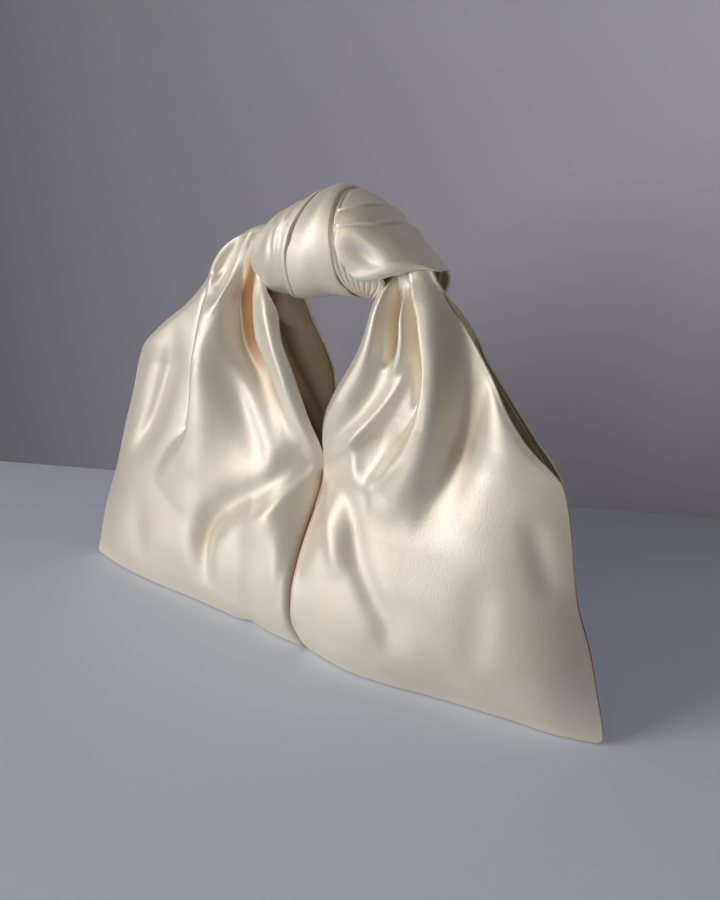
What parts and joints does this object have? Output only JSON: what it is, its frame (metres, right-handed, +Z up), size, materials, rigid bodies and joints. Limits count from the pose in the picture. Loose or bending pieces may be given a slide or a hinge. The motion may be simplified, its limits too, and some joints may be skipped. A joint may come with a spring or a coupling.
{
  "type": "knot bag",
  "caption": "Soft satin evening bag with a wide boat-shaped base, a V-shaped mouth and gathered straps tied in a knot as its handle.",
  "frame": {"origin": "middle of the base, on the surface the bag stands on", "axes": "+X along the width, +Z up, the front faces -Y"},
  "size_m": [0.336, 0.0708, 0.2489],
  "materials": {
    "satin": "satin",
    "lining": "satin",
    "snap": "plated"
  },
  "bodies": {
    "bag": {"left_base_fold": "satin", "right_base_fold": "satin", "left_base_lining": "lining", "right_base_lining": "lining", "left_side_seam": "satin", "right_side_seam": "satin", "front_left_strap": "satin", "front_right_strap": "satin", "back_left_strap": "satin", "back_right_strap": "satin", "front_left_strap_lining": "lining", "front_right_strap_lining": "lining", "back_left_strap_lining": "lining", "back_right_strap_lining": "lining", "left_neck_gather": "lining", "right_neck_gather": "lining"},
    "front_panel": {"front_left_shell": "satin", "front_right_shell": "satin", "front_left_lining": "lining", "front_right_lining": "lining", "front_centre_seam": "satin", "snap_stud": "snap"},
    "back_panel": {"back_left_shell": "satin", "back_right_shell": "satin", "back_left_lining": "lining", "back_right_lining": "lining", "back_centre_seam": "satin", "snap_socket": "snap"},
    "handle": {"left_tail": "satin", "right_tail": "satin", "knot_first_turn": "satin", "knot_second_turn": "satin", "knot_centre_pleats": "satin", "knot_right_wrap": "satin"}
  },
  "joints": [
    {"name": "front_open", "type": "hinge", "parent": "bag", "child": "front_panel", "pos_m": [0, -0.019, 0], "axis": [1, 0, 0], "range_deg": [0, 12]},
    {"name": "back_open", "type": "hinge", "parent": "bag", "child": "back_panel", "pos_m": [0, 0.019, 0], "axis": [-1, 0, 0], "range_deg": [0, 12]},
    {"name": "handle_tilt", "type": "hinge", "parent": "bag", "child": "handle", "pos_m": [0, 0, 0.178], "axis": [1, 0, 0], "range_deg": [-20, 20]}
  ]
}
